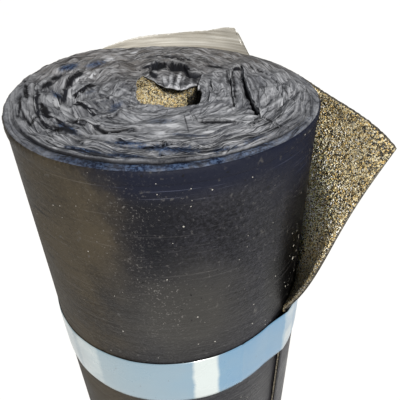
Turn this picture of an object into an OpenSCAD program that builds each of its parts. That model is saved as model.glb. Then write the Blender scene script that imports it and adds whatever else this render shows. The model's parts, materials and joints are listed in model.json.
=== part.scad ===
// Roll of mineral-faced roofing felt, standing on end.
// One sheet is wound with its mineral face inward and its film-faced underside outward. A tape band holds
// the outer end down, the top corner of that end has sprung loose, and thin film is gathered over the
// top end.
// The origin is on the roll's axis, on the floor.

/* [Sheet] */
// Width of the sheet, which is the height of the roll on end
sheet_w = 1000; // [500:10:1200]
// Thickness of the sheet with its mineral facing
sheet_t = 4; // [2.5:0.1:6]

/* [Winding] */
// Diameter of the bore down the middle of the roll
bore_d = 56; // [40:1:100]
// Number of turns of the sheet
turns = 19; // [8:1:24]
// Slack between one turn and the next
turn_slack = 0.4; // [0.2:0.05:0.8]
// Depth of the groove between turns on the two ends
groove_depth = 2.5; // [1:0.1:5]
// Width of that groove at the face of the end
groove_w = 1.2; // [0.6:0.1:2]
// Place of the sheet's outer end round the roll, in degrees from +X
seam_angle = -41; // [-180:1:180]

/* [Loose corner] */
// Stretch of the last turn that has sprung away at the top, in degrees
peel_angle = 63; // [40:1:80]
// Share of the turn's curve that is undone at the top edge, past 1 where the sheet bends back
peel_share = 1.4; // [0.4:0.05:1.5]
// Share of the loose stretch along which the curve is undone
ramp_share = 0.46; // [0.2:0.02:1]

/* [Tape band] */
// Width of the tape
tape_w = 50; // [20:1:80]
// Thickness of the tape
tape_t = 0.4; // [0.2:0.1:1]
// Distance on the axis from the top end down to the tape's upper edge
tape_drop = 161; // [100:1:250]
// Slope of the tape round the roll, in degrees, rising toward +X
tape_tilt = 3.1; // [0:0.1:5]

/* [End film] */
// Height of the gathered film's folds above the top end
film_h = 9; // [4:0.5:16]
// Height of the film's rim above the top end
film_rim_h = 5; // [2:0.5:10]
// Height of the film's upstanding strip above the top end, at its taller cut end
strip_h = 23; // [12:1:40]
// Thickness of the strip's folded layers
strip_t = 1.5; // [0.8:0.1:3]
// Place of the strip's taller cut end round the roll, in degrees from +X
strip_start = 46; // [0:1:180]
// Stretch of the rim along which the strip stands and tapers away, in degrees
strip_angle = 80; // [30:1:120]
// Number of folds that circle the bore
film_folds = 4; // [2:1:6]
// Number of pleats drawn in toward the bore
film_pleats = 14; // [6:2:24]

/* [Hidden] */
$fn = 128;

// Reach of every cut past the face that it opens
overrun = 5;
// Room left between the tape or the film and the felt
fit = 0.1;
// Room left between the tape's highest point and the loose corner
corner_clear = 1;
// Reach of the loose corner into the wound sheet that carries it
root_len = 6;

pitch = sheet_t + turn_slack;
bore_r = bore_d / 2;
// Radius of the roll from the outer end of the sheet on through the first half turn
wound_r = turn_r(turns);
// The second half of each turn is struck about a centre half a pitch nearer the seam
half_shift = [pitch / 2, 0, 0];

// Radius at which turn k of the sheet begins
function turn_r(k) = bore_r + (k - 1 / 2) * pitch;

// Three points of the groove between two turns, on an end at height z, cut in the direction given
function groove(r, z, direction) = [
    [r - groove_w / 2, z],
    [r, z + direction * groove_depth],
    [r + groove_w / 2, z]
];

// Outline of half a roll from inside the bore out to edge_r, grooved on both ends at the radii given
function roll_outline(edge_r, groove_rs) =
    let (count = len(groove_rs))
    let (inner_r = bore_r - pitch)
    concat(
        [[inner_r, 0]],
        [for (r = groove_rs) each groove(r, 0, 1)],
        [[edge_r, 0], [edge_r, sheet_w]],
        [for (i = [1:count]) let (g = groove(groove_rs[count - i], sheet_w, -1)) each [g[2], g[1], g[0]]],
        [[inner_r, sheet_w]]
    );

// The two halves of the winding together make the turns one spiral, with the seam's step on +X
module winding() {
    rotate(180)
        rotate_extrude(angle = 180)
            polygon(roll_outline(wound_r, [for (k = [1:turns - 1]) turn_r(k)]));
    translate(half_shift)
        rotate_extrude(angle = 180)
            polygon(roll_outline(wound_r + pitch / 2, [for (k = [0:turns - 1]) turn_r(k) + pitch / 2]));
}

// Height at which the last turn leaves the roll, just above the tape's highest point
peel_z = sheet_w - tape_drop + (wound_r + pitch + tape_t) * tan(tape_tilt) + corner_clear;

// Space that the sprung stretch of the last turn has left
module peel_recess() {
    translate(half_shift + [0, 0, peel_z])
        rotate_extrude(angle = peel_angle)
            translate([wound_r - pitch / 2, 0])
                square([pitch + overrun, tape_drop + overrun]);
}

// The loose corner is swept in steps along the sheet and up its width
corner_steps = 21;
corner_rows = 18;
corner_len = wound_r * peel_angle * PI / 180;
corner_h = sheet_w - turn_slack - peel_z;
along = [-root_len, for (i = [0:corner_steps]) corner_len * i / corner_steps];
upward = [-root_len, for (j = [0:corner_rows]) corner_h * j / corner_rows];

// Direction that the sheet's outer face looks in, a length s past the root, where a share of its curve
// is undone
function facing(s, undone) =
    let (ramp = ramp_share * corner_len)
    let (freed = s < 0 ? 0 : s < ramp ? s * s / ramp / 2 : s - ramp / 2)
    peel_angle - (s - undone * freed) / wound_r * 180 / PI;

// Share of the curve that is undone at a height h above the root
function undone_at(h) = peel_share * max(h, 0) / corner_h;

// Places of the sheet's middle layer along one row, found by walking from the root in the facing direction
function row_places(undone) =
    let (first = facing(along[0], undone))
    let (start = [half_shift[0], 0] + wound_r * [cos(first), sin(first)])
    [
        for (
            i = 0, place = start;
            i < len(along);
            turn = facing((along[i] + along[min(i + 1, len(along) - 1)]) / 2, undone),
            stride = along[min(i + 1, len(along) - 1)] - along[i],
            place = place + stride * [sin(turn), -cos(turn)],
            i = i + 1
        ) place
    ];

rows = [for (h = upward) row_places(undone_at(h))];

// Rise of each row over the one below: a row that leans out loses height, so the sheet isn't stretched
function rise(j, i) =
    let (lean = norm(rows[j][i] - rows[j - 1][i]))
    sqrt(max((upward[j] - upward[j - 1]) ^ 2 - lean ^ 2, 0));
function row_height(j, i) = j == 0 ? peel_z + upward[0] : row_height(j - 1, i) + rise(j, i);

// One point of the corner's inner face (side -1) or outer face (side 1)
function corner_point(j, i, side) =
    let (turn = facing(along[i], undone_at(upward[j])))
    let (flat = rows[j][i] + side * sheet_t / 2 * [cos(turn), sin(turn)])
    [flat[0], flat[1], row_height(j, i)];

module loose_corner() {
    across = len(along);
    up = len(upward);
    sheet = across * up;
    points = [
        for (side = [-1, 1], j = [0:up - 1], i = [0:across - 1]) corner_point(j, i, side)
    ];
    inner = [
        for (j = [0:up - 2], i = [0:across - 2])
            let (a = j * across + i)
            [a, a + 1, a + across + 1, a + across]
    ];
    outer = [for (q = inner) [for (k = [3:-1:0]) q[k] + sheet]];
    border = concat(
        [for (i = [0:across - 1]) i],
        [for (j = [1:up - 1]) j * across + across - 1],
        [for (i = [1:across - 1]) sheet - 1 - i],
        [for (j = [1:up - 2]) (up - 1 - j) * across]
    );
    around = len(border);
    edges = [
        for (k = [0:around - 1])
            let (a = border[k], b = border[(k + 1) % around])
            [a, a + sheet, b + sheet, b]
    ];
    quads = concat(inner, outer, edges);
    polyhedron(points, [for (q = quads) each [[q[0], q[1], q[2]], [q[0], q[2], q[3]]]]);
}

module felt_roll() {
    color("#3b3733")
        difference() {
            rotate(seam_angle) {
                difference() {
                    winding();
                    peel_recess();
                }
                loose_corner();
            }
            translate([0, 0, -overrun])
                cylinder(h = sheet_w + 2 * overrun, r = bore_r);
        }
}

// The film lies on the top end from the bore's edge out to the rim
film_in_r = bore_r + fit;
film_out_r = wound_r - fit;
film_cols = 84;
// Places of the folds' points from the bore's edge out to the strip
film_r_shares = [0, 0.06, 0.14, 0.22, 0.3, 0.38, 0.46, 0.54, 0.62, 0.7, 0.78, 0.86, 0.93];
// Height of the lowest creases, and what the circling folds and the pleats add to it, as shares of film_h
crease_share = 0.35;
circling_share = 0.4;
pleated_share = 0.25;
// Turn of the pleats on their way from the bore to the rim, in degrees
pleat_swirl = 160;

// Height of the film above the end at a share u of the way out and an angle a
function fold_h(u, a) =
    let (circling = abs(sin(180 * film_folds * u + a)))
    let (pleated = abs(sin(film_pleats * a / 2 + pleat_swirl * u)))
    film_h * (crease_share + circling_share * circling + pleated_share * pleated);

// Height of the upstanding strip at an angle a, tapering from its cut end down to the rim
function strip_top(a) =
    let (past = (a - strip_start + 360) % 360)
    let (left = max(1 - past / strip_angle, 0))
    film_rim_h + strip_t + (strip_h - film_rim_h - strip_t) * sqrt(left);

// Section through the film at an angle a, as radius and height above the end
function film_section(a) =
    let (strip_r = film_out_r - strip_t)
    concat(
        [[film_in_r, 0]],
        [for (u = film_r_shares) [film_in_r + u * (strip_r - film_in_r), fold_h(u, a)]],
        [[strip_r, film_rim_h], [strip_r, strip_top(a)], [film_out_r, strip_top(a)], [film_out_r, 0]]
    );

module end_film() {
    sections = [for (c = [0:film_cols - 1]) film_section(360 * c / film_cols)];
    count = len(sections[0]);
    points = [
        for (c = [0:film_cols - 1], q = sections[c])
            let (a = 360 * c / film_cols)
            [q[0] * cos(a), q[0] * sin(a), sheet_w + q[1]]
    ];
    faces = [
        for (c = [0:film_cols - 1], k = [0:count - 1])
            let (d = (c + 1) % film_cols, m = (k + 1) % count)
            each [
                [c * count + k, c * count + m, d * count + m],
                [c * count + k, d * count + m, d * count + k]
            ]
    ];
    color("#63646b") polyhedron(points, faces);
}

// Share of the steepest slope at which the tape could leave the step and still clear the turn below
span_share = 0.985;

// Outline of the roll at the seam, grown outward, with the tape's straight span down from the step
module taped_outline(grow) {
    low_r = wound_r + grow;
    step_r = low_r + pitch;
    slope = span_share * asin(low_r / step_r);
    intersection() {
        circle(r = low_r);
        translate([-step_r, -step_r])
            square([2 * step_r, step_r]);
    }
    intersection() {
        translate(half_shift)
            circle(r = low_r + pitch / 2);
        translate([-step_r, 0])
            square([2 * step_r, step_r]);
    }
    polygon([[0, 0], step_r * sin(slope) * [sin(slope), -cos(slope)], [step_r, 0]]);
}

module tape_band() {
    reach = wound_r + pitch + overrun;
    color("#8fb6d0")
        intersection() {
            rotate(seam_angle)
                linear_extrude(sheet_w)
                    difference() {
                        taped_outline(fit + tape_t);
                        taped_outline(fit);
                    }
            translate([0, 0, sheet_w - tape_drop - tape_w / 2])
                rotate([0, -tape_tilt, 0])
                    cylinder(h = tape_w, r = 2 * reach, center = true);
        }
}

felt_roll();
end_film();
tape_band();
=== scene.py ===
import json
import math

import bpy
import numpy as np
from mathutils import Matrix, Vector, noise
from mathutils.bvhtree import BVHTree


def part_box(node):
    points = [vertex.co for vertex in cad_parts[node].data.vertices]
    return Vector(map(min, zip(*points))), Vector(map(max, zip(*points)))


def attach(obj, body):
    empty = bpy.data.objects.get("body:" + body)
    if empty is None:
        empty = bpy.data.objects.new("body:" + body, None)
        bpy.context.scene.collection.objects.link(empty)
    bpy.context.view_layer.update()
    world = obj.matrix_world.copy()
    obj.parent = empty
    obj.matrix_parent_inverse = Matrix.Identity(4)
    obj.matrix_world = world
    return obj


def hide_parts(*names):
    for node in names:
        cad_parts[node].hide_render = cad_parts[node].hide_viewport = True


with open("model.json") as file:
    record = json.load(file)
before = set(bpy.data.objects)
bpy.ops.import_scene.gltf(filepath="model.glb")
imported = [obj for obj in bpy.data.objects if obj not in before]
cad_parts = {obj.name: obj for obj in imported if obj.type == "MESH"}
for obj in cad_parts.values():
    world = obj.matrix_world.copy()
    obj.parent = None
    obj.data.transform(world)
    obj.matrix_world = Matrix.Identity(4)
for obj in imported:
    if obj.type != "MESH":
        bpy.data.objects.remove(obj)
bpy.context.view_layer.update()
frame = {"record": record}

# The wound felt. One bitumen sheet, 1 m wide and about 8 m long, is wound up with its mineral face inward,
# so a turn shows its thin polythene facing outside and its granules inside. These are all the turns that
# lie under the last one, as one long strip with its cut edges rounded over.
sheet_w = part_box("felt_roll")[1][2]
sheet_t = 0.004
pitch = sheet_t + 0.0004
turns = 19
bore_r = frame["record"]["mounts"][0]["dims"]["r_mm"] / 1000
wound_r = bore_r + (turns - 0.5) * pitch
seam = math.radians(-41)


def arrow(angle):
    """Arrows of length 1 in plan, at angles."""
    return np.stack([np.cos(angle), np.sin(angle)], -1)


def wound(swept):
    """Place of the sheet's middle layer, and the way its outer face looks, at degrees swept from the seam."""
    turn = np.floor(swept / 360)
    inside = swept - 360 * turn
    first_half = inside < 180
    radius = bore_r + (turn - 0.5) * pitch + np.where(first_half, pitch / 2, pitch)
    centre = np.where(first_half, 0, pitch / 2)
    look = seam - np.radians(inside)
    across = radius * np.cos(look) + centre * math.cos(seam)
    away = radius * np.sin(look) + centre * math.sin(seam)
    return np.stack([across, away], -1), look


def grid_quads(rows, columns, close_rows=False, close_columns=False):
    """Quads of a grid of points that are numbered row by row."""
    row_starts = np.arange(rows - (not close_rows))
    column_starts = np.arange(columns - (not close_columns))
    j, i = np.meshgrid(row_starts, column_starts, indexing="ij")
    up = (j + 1) % rows
    on = (i + 1) % columns
    here = j * columns
    above = up * columns
    return np.stack([here + i, here + on, above + on, above + i], -1).reshape(-1, 4)


def mesh_piece(name, points, faces, materials, zones=None, smooth=True):
    """A mesh object from arrays, with one material per zone of faces."""
    mesh = bpy.data.meshes.new(name)
    mesh.from_pydata(np.asarray(points).reshape(-1, 3).tolist(), [], [list(map(int, f)) for f in faces])
    for material in materials:
        mesh.materials.append(material)
    if zones is not None:
        mesh.polygons.foreach_set("material_index", np.asarray(zones, np.int32))
    mesh.polygons.foreach_set("use_smooth", np.full(len(mesh.polygons), smooth))
    mesh.validate()
    mesh.update()
    piece = bpy.data.objects.new(name, mesh)
    bpy.context.scene.collection.objects.link(piece)
    return piece


def lay_uv(piece, uv):
    """Sheet lengths in metres as the piece's UV map, one pair for each point."""
    layer = piece.data.uv_layers.new(name="sheet_lengths")
    corner_points = np.zeros(len(piece.data.loops), np.int32)
    piece.data.loops.foreach_get("vertex_index", corner_points)
    layer.data.foreach_set("uv", np.asarray(uv, np.float32).reshape(-1, 2)[corner_points].ravel())


def point_values(piece, **named):
    """Values from 0 to 1 at the piece's points, for its material to read by name."""
    for name, values in named.items():
        layer = piece.data.attributes.new(name, "FLOAT", "POINT")
        layer.data.foreach_set("value", np.clip(values, 0, 1).astype(np.float32).ravel())


def strip_shell(columns, rows):
    """Faces and zones of a closed strip, with its inner and then its outer points in each column."""
    faces = grid_quads(columns, 2 * rows, close_columns=True)
    place = np.arange(2 * rows)
    zone_of_place = np.where(place < rows - 1, 1, 0)
    zone_of_place[[rows - 1, 2 * rows - 1]] = 2
    zones = np.tile(zone_of_place, columns - 1)
    caps = []
    for column in (0, columns - 1):
        start = column * 2 * rows
        for row in range(rows - 1):
            cap = [start + row, start + row + 1, start + 2 * rows - 2 - row, start + 2 * rows - 1 - row]
            caps.append(cap if column == 0 else cap[::-1])
    return np.concatenate([faces, np.array(caps)]), np.concatenate([zones, np.full(len(caps), 2)])


def sheet_strip(name, inner, outer, uv, materials):
    """A closed strip of sheet from its inner and outer faces, given as columns of points going up."""
    faces, zones = strip_shell(*inner.shape[:2])
    piece = mesh_piece(name, np.concatenate([inner, outer[:, ::-1]], 1), faces, materials, zones)
    lay_uv(piece, np.concatenate([uv, uv[:, ::-1]], 1))
    return piece


class Nodes:
    """The nodes of one material or group. Each call adds a node and gives back its output."""

    def __init__(self, tree):
        self.tree = tree

    def feed(self, socket, value):
        """Links a socket to an output, or sets its plain value."""
        if isinstance(value, bpy.types.NodeSocket):
            self.tree.links.new(value, socket)
        else:
            socket.default_value = value

    def shade(self, **fed):
        """Feeds the sockets of the material's own shader."""
        for key, value in fed.items():
            self.feed(self.tree.nodes["Principled BSDF"].inputs[key.replace("_", " ")], value)

    def add(self, kind, sockets=None, **settings):
        node = self.tree.nodes.new(kind)
        for key, value in settings.items():
            setattr(node, key, value)
        for key, value in (sockets or {}).items():
            self.feed(node.inputs[key], value)
        return node

    def calc(self, operation, *values, **settings):
        return self.add("ShaderNodeMath", dict(enumerate(values)), operation=operation, **settings).outputs[0]

    def times(self, first, second):
        return self.calc("MULTIPLY", first, second)

    def more(self, value, share, base, **settings):
        """A base with a share of a value added."""
        return self.calc("MULTIPLY_ADD", value, share, base, **settings)

    def apart(self, value, offset):
        """How far a value and its offset are from nothing."""
        return self.calc("ABSOLUTE", self.calc("ADD", value, offset))

    def span(self, value, low, high, to_low=0.0, to_high=1.0):
        """A value between two limits, laid out between two others."""
        limits = {"Value": value, "From Min": low, "From Max": high, "To Min": to_low, "To Max": to_high}
        return self.add("ShaderNodeMapRange", limits).outputs[0]

    def vector(self, operation, *values):
        node = self.add("ShaderNodeVectorMath", dict(enumerate(values)), operation=operation)
        return node.outputs["Value" if operation in ("LENGTH", "DOT_PRODUCT") else "Vector"]

    def stretched(self, place, scale, turn=0.0):
        node = self.add("ShaderNodeMapping", {"Vector": place, "Rotation": (0, 0, turn), "Scale": scale})
        return node.outputs[0]

    def noise(self, place, scale, detail, roughness=0.5, output="Fac"):
        given = {"Vector": place, "Scale": scale, "Detail": detail, "Roughness": roughness}
        return self.add("ShaderNodeTexNoise", given).outputs[output]

    def cells(self, place, scale, **settings):
        return self.add("ShaderNodeTexVoronoi", {"Vector": place, "Scale": scale}, **settings).outputs

    def red(self, colour):
        return self.add("ShaderNodeSeparateColor", {"Color": colour}).outputs[0]

    def parts(self, place):
        return self.add("ShaderNodeSeparateXYZ", {"Vector": place}).outputs

    def own(self, name, output="Fac"):
        """What the piece's points say under a name."""
        return self.add("ShaderNodeAttribute", attribute_name=name).outputs[output]

    def ramp(self, factor, stops, interpolation="LINEAR"):
        """A colour ramp with stops of (place, colour)."""
        node = self.add("ShaderNodeValToRGB", {"Fac": factor})
        node.color_ramp.interpolation = interpolation
        elements = node.color_ramp.elements
        while len(elements) < len(stops):
            elements.new(0.5)
        for element, (place, colour) in zip(elements, stops):
            element.position = place
            element.color = (*colour, 1)
        return node.outputs["Color"]

    def mask(self, factor, start, end, low=0, high=1):
        """A grey ramp between two places."""
        return self.ramp(factor, [(start, (low, low, low)), (end, (high, high, high))])

    def blend(self, factor, low, high):
        """Two colours, plain or fed, mixed by a mask."""
        node = self.add("ShaderNodeMix", data_type="RGBA")
        for key, value in ((0, factor), (6, low), (7, high)):
            self.feed(node.inputs[key], (*value, 1) if isinstance(value, tuple) else value)
        return node.outputs[2]

    def relief(self, height, strength, distance, **settings):
        given = {"Strength": strength, "Distance": distance, "Height": height}
        return self.add("ShaderNodeBump", given, **settings).outputs[0]


def new_finish(name, **plain):
    """A material with a Principled BSDF that has the plain socket values given."""
    material = bpy.data.materials.new(name)
    material.use_nodes = True
    nodes = Nodes(material.node_tree)
    nodes.shade(**plain)
    return material, nodes


def new_group(name, places, sizes, masks):
    """A shader group with its named inputs and outputs."""
    group = bpy.data.node_groups.new(name, "ShaderNodeTree")
    kinds = (("INPUT", "Vector", places), ("INPUT", "Float", sizes), ("OUTPUT", "Float", masks))
    for way, kind, names in kinds:
        for socket in names:
            group.interface.new_socket(socket, in_out=way, socket_type="NodeSocket" + kind)
    nodes = Nodes(group)
    return group, nodes, nodes.add("NodeGroupInput").outputs, nodes.add("NodeGroupOutput").inputs


def weathering_group():
    """Shader group for site dirt: patchy dust, small pale specks and fine scratches along the sheet."""
    group, nodes, given, result = new_group("weathering", ["Place", "Lengths"], ["Patch size"],
                                            ["Dust", "Specks", "Scratches"])
    patches = nodes.noise(given["Place"], nodes.calc("DIVIDE", 1.0, given["Patch size"]), 9.0, 0.62)
    nodes.feed(result["Dust"], nodes.mask(patches, 0.36, 0.7))
    dots = nodes.cells(given["Place"], 170.0)
    size = nodes.calc("SUBTRACT", nodes.times(nodes.red(dots["Color"]), 0.16), 0.055)
    nodes.feed(result["Specks"], nodes.calc("LESS_THAN", dots["Distance"], size))
    lines = nodes.noise(nodes.stretched(given["Lengths"], (14.0, 620.0, 1.0)), 1.0, 3.0, 0.7)
    nodes.feed(result["Scratches"], nodes.mask(lines, 0.6, 0.68))
    return group


weathering = weathering_group()


def weathered(nodes, patch_size, lengths=True):
    """The weathering group placed in a material, on the piece's own coordinates."""
    spots = nodes.add("ShaderNodeTexCoord").outputs
    drawn = spots["UV" if lengths else "Object"]
    given = {"Place": spots["Object"], "Lengths": drawn, "Patch size": patch_size}
    return nodes.add("ShaderNodeGroup", given, node_tree=weathering).outputs, spots


def facing_finish():
    """Scuffed dark polythene facing, brown on its left flank as site dust and partly as painted sunlight,
    with painted shade, painted sunlight and painted blue sky reflection in places.
    """
    material, nodes = new_finish("polythene_facing", Specular_IOR_Level=0.14)
    marks, spots = weathered(nodes, 0.07)
    dust = marks["Dust"]
    place = spots["Object"]
    x, y, z = nodes.parts(place)
    # The brown of the left flank is site dust, and partly painted sunlight.
    brown = (0.041, 0.033, 0.0215)
    ragged = nodes.more(dust, -0.025, x)
    left = nodes.span(ragged, -0.024, -0.066)
    fine = nodes.noise(place, 460.0, 2.0, 0.75)
    filmy = nodes.more(nodes.mask(fine, 0.42, 0.66), 0.9, dust)
    mixed = nodes.span(filmy, 0.2, 1.7)
    film = nodes.blend(mixed, (0.0012, 0.0013, 0.0026), (0.0195, 0.0197, 0.0252))
    dust_and_sunlight = nodes.blend(mixed, (0.0125, 0.0095, 0.0058), brown)
    coat = nodes.blend(left, film, dust_and_sunlight)
    coat = nodes.blend(nodes.times(left, dust), coat, brown)
    # A faint paler grey patch low on the front, above the tape: painted sunlight.
    off_front = nodes.vector("SUBTRACT", place, (-0.002, -0.108, 0.888))
    far = nodes.vector("LENGTH", nodes.vector("MULTIPLY", off_front, (20.0, 10.0, 17.0)))
    patch = nodes.span(nodes.more(dust, -0.5, far), 1.0, 0.2)
    coat = nodes.blend(patch, coat, (0.024, 0.023, 0.0215))
    # Black in a ragged band that runs down from the bead, at the front: painted shade.
    ragged_z = nodes.more(dust, -0.040, z)
    high = nodes.span(ragged_z, sheet_w - 0.130, sheet_w - 0.020)
    near = nodes.span(nodes.apart(ragged, 0.026), 0.030, 0.010)
    coat = nodes.blend(nodes.times(high, near), coat, (0.0022, 0.0025, 0.0045))
    # On the right flank, black low down beside the loose corner: painted shade.
    right = nodes.span(ragged, 0.052, 0.066)
    low_down = nodes.span(z, sheet_w - 0.030, sheet_w - 0.085)
    above_tape = nodes.span(z, sheet_w - 0.190, sheet_w - 0.165)
    frontal = nodes.span(y, -0.030, -0.055)
    beside = nodes.times(nodes.times(low_down, above_tape), frontal)
    coat = nodes.blend(nodes.times(right, beside), coat, (0.0008, 0.0008, 0.0010))
    # Navy high on the right and just under the bead: painted blue sky reflection, with the scratches there
    # blue too.
    rightward = nodes.span(ragged, 0.026, 0.050)
    high_up = nodes.span(ragged_z, sheet_w - 0.056, sheet_w - 0.024)
    frontward = nodes.span(ragged, -0.058, -0.034, 0.0, 0.85)
    by_bead = nodes.span(z, sheet_w - 0.017, sheet_w - 0.005)
    navy = nodes.calc("MAXIMUM", nodes.times(rightward, high_up), nodes.times(frontward, by_bead))
    coat = nodes.blend(navy, coat, (0.0035, 0.0050, 0.0135))
    coat = nodes.blend(nodes.times(marks["Scratches"], navy), coat, (0.011, 0.017, 0.044))
    # Dark slanting wrinkles in the dust at the far left.
    slanted = nodes.stretched(spots["UV"], (34.0, 300.0, 1.0), 0.95)
    wrinkles = nodes.mask(nodes.noise(slanted, 1.0, 5.0, 0.7), 0.53, 0.66)
    far_left = nodes.span(x, -0.055, -0.095)
    coat = nodes.blend(nodes.times(wrinkles, far_left), coat, (0.004, 0.0035, 0.003))
    # Small pale dots, thickest where the brown dust ends, and none on the navy.
    thickest = nodes.span(nodes.apart(x, 0.020), 0.032, 0.004, 0.0, 0.085)
    crowded = nodes.calc("ADD", nodes.noise(place, 620.0, 2.0, 0.7), thickest)
    dots = nodes.times(nodes.mask(crowded, 0.67, 0.74), dust)
    dots = nodes.times(dots, nodes.calc("SUBTRACT", 1.0, navy))
    coat = nodes.blend(dots, coat, (0.115, 0.11, 0.105))
    # Scattered pale smudges, small dark pits, scuffs and specks.
    coarse = nodes.noise(place, 230.0, 3.0, 0.6)
    for here, colour in ((nodes.mask(coarse, 0.64, 0.74, 0, 0.8), (0.052, 0.050, 0.047)),
                         (nodes.mask(coarse, 0.27, 0.33, 1, 0), (0.002, 0.002, 0.002)),
                         (nodes.times(marks["Scratches"], 0.07), (0.30, 0.29, 0.28)),
                         (marks["Specks"], (0.26, 0.25, 0.23))):
        coat = nodes.blend(here, coat, colour)
    # A line of stray pale granules where the sheet's end lay, below the loose corner.
    cells = nodes.cells(place, 190.0)
    by_end = nodes.span(nodes.apart(x, -0.0885), 0.010, 0.003, 0.0, 0.40)
    size = nodes.more(nodes.red(cells["Color"]), nodes.times(by_end, beside), -0.090)
    stuck = nodes.calc("LESS_THAN", cells["Distance"], size)
    coat = nodes.blend(stuck, coat, (0.50, 0.47, 0.40))
    gloss = nodes.span(dust, 0.0, 1.0, 0.26, 0.5)
    dull = nodes.more(navy, 0.3, nodes.more(left, 0.3, gloss))
    wrinkle = nodes.noise(nodes.stretched(spots["UV"], (30.0, 160.0, 1.0)), 1.0, 6.0, 0.6)
    uneven = nodes.more(fine, 0.45, wrinkle)
    nodes.shade(Base_Color=coat, Roughness=dull, Normal=nodes.relief(uneven, 0.7, 0.0012))
    return material


grain_mix = [(0.0, (0.014, 0.013, 0.012)), (0.20, (0.17, 0.12, 0.05)), (0.32, (0.50, 0.36, 0.14)),
             (0.46, (0.50, 0.42, 0.24)), (0.66, (0.56, 0.51, 0.37)), (0.90, (0.60, 0.59, 0.55))]


def mineral_finish():
    """The bed of fine mineral between the larger granules, in the same gold, black and grey mix."""
    material, nodes = new_finish("mineral_bed", Roughness=0.85)
    cells = nodes.cells(nodes.add("ShaderNodeTexCoord").outputs["Object"], 900.0)
    bed = nodes.ramp(nodes.times(nodes.red(cells["Color"]), 0.8), grain_mix, "CONSTANT")
    # Where the bore lies in shade the bed is painted near-black: painted shade.
    colour = nodes.blend(nodes.own("bare_share"), bed, (0.008, 0.0075, 0.007))
    nodes.shade(Base_Color=colour, Normal=nodes.relief(cells["Distance"], 0.9, 0.0006, invert=True))
    return material


def bitumen_finish():
    """Cut edge of the sheet: black bitumen with grit pressed into it."""
    material, nodes = new_finish("cut_bitumen", Roughness=0.6)
    grit = nodes.noise(nodes.add("ShaderNodeTexCoord").outputs["Object"], 700.0, 4.0)
    colour = nodes.ramp(grit, [(0.42, (0.010, 0.009, 0.008)), (0.55, (0.09, 0.075, 0.05)),
                               (0.66, (0.15, 0.13, 0.095))])
    nodes.shade(Base_Color=colour, Normal=nodes.relief(grit, 0.6, 0.0006))
    return material


felt_finishes = [facing_finish(), mineral_finish(), bitumen_finish()]
edge_rows = np.array([0, 0.0006, 0.0016])
edge_shares = np.array([0.55, 0.88, 1.0])
inner_start = 267
outer_start = 360 * turns - 400
swept_step = 3.75
skew_degrees = 22
skew_h = 0.035
skew_columns = 12
swept = np.arange(inner_start, outer_start + swept_step, swept_step)
heights = np.concatenate([edge_rows, [sheet_w - skew_h], sheet_w - edge_rows[::-1]])
thick = sheet_t / 2 * np.concatenate([edge_shares, [1], edge_shares[::-1]])


def faces_of_sheet(middle, normal, heights, thick):
    """Inner and outer face points of a sheet from its middle layer, for every column and row."""
    layers = []
    for way in (-1, 1):
        flat = middle + way * thick[..., None] * normal
        layers.append(np.concatenate([flat, np.broadcast_to(heights[..., None], flat.shape[:-1] + (1,))], -1))
    return layers


# The inner end is cut askew: near the top it starts a little later.
high_share = np.clip((heights - heights[3]) / skew_h, 0, 1)
start_share = np.clip(1 - np.arange(len(swept)) / skew_columns, 0, 1)
middle, look = wound(swept[:, None] + skew_degrees * high_share * start_share[:, None])
every_height = np.tile(heights, (len(swept), 1))
inner, outer = faces_of_sheet(middle, arrow(look), every_height, np.tile(thick, (len(swept), 1)))
run = wound_r / 2 * np.radians(swept)
uv = np.stack(np.broadcast_arrays(run[:, None], heights[None]), -1)
felt_turns = sheet_strip("felt_turns", inner, outer, uv, felt_finishes)


def in_bore_shade(angle, z):
    """Whether a place in the bore is painted near-black as shade, along the slanting inner end of the sheet.
    """
    degrees = (np.degrees(angle) + 180) % 360 - 180
    return (degrees > -50) & (degrees < np.minimum(25 + 2180 * (sheet_w + 0.0013 - z), 60))


# The bore's mineral face is painted near-black along the slanting inner end: painted shade.
bore_shade_swept = 460
bore_shade_inside = in_bore_shade(look, heights[None]) & (swept[:, None] < inner_start + bore_shade_swept)
point_values(felt_turns, bare_share=np.concatenate([bore_shade_inside, bore_shade_inside[:, ::-1]], 1).astype(float))
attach(felt_turns, "root")

# The last turn of the same sheet. The tape holds its end down, and above the tape its top corner has sprung
# away from the roll: the curve it was wound to is undone little by little, and what leans out loses height.
peel_degrees = 63
peel_angle = math.radians(peel_degrees)
peel_share = 1.71
ramp_share = 0.445
askew_share = 0.046
root_swept = 360 * turns - peel_degrees
tape_top = sheet_w - 0.161
tape_slope = math.tan(math.radians(3.1))
peel_z = tape_top + (wound_r + pitch) * tape_slope + 0.001
corner_len = wound_r * peel_angle
corner_h = sheet_w - peel_z
low_step = 0.012
high_rows = 38
corner_columns = 80
held_step = 1.5
torn_h = 0.0006


@np.vectorize
def dented(angle, z):
    """Small bulges and dents of the roll's flank, in metres, that everything lying on it follows."""
    return 0.0005 * noise.noise((2.1 * math.cos(angle), 2.1 * math.sin(angle), 9 * z))


rows_low = np.concatenate([edge_rows, np.arange(low_step, peel_z - low_step / 2, low_step)])
rows_high = np.linspace(peel_z, sheet_w - 0.0030, high_rows)
rows = np.concatenate([rows_low, rows_high, sheet_w - edge_rows[::-1]])
row_shares = np.concatenate([edge_shares, np.ones(len(rows) - 6), edge_shares[::-1]])
wound_part = np.arange(outer_start, root_swept, held_step)
along = np.linspace(0, corner_len - 0.002, corner_columns)
along = np.concatenate([along, [corner_len - 0.001, corner_len]])
corner_share = np.maximum(rows - peel_z, 0) / corner_h

# The corner opens soon above the tape, then slowly, and curls out most in its upper third.
undone = peel_share * (1.25 * corner_share - 1.45 * corner_share ** 2 + 1.2 * corner_share ** 3)

# The sheet's end is cut a little askew, so the corner is a little shorter at the top than at the tape.
row_along = (1 - askew_share * corner_share)[:, None] * along


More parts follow.
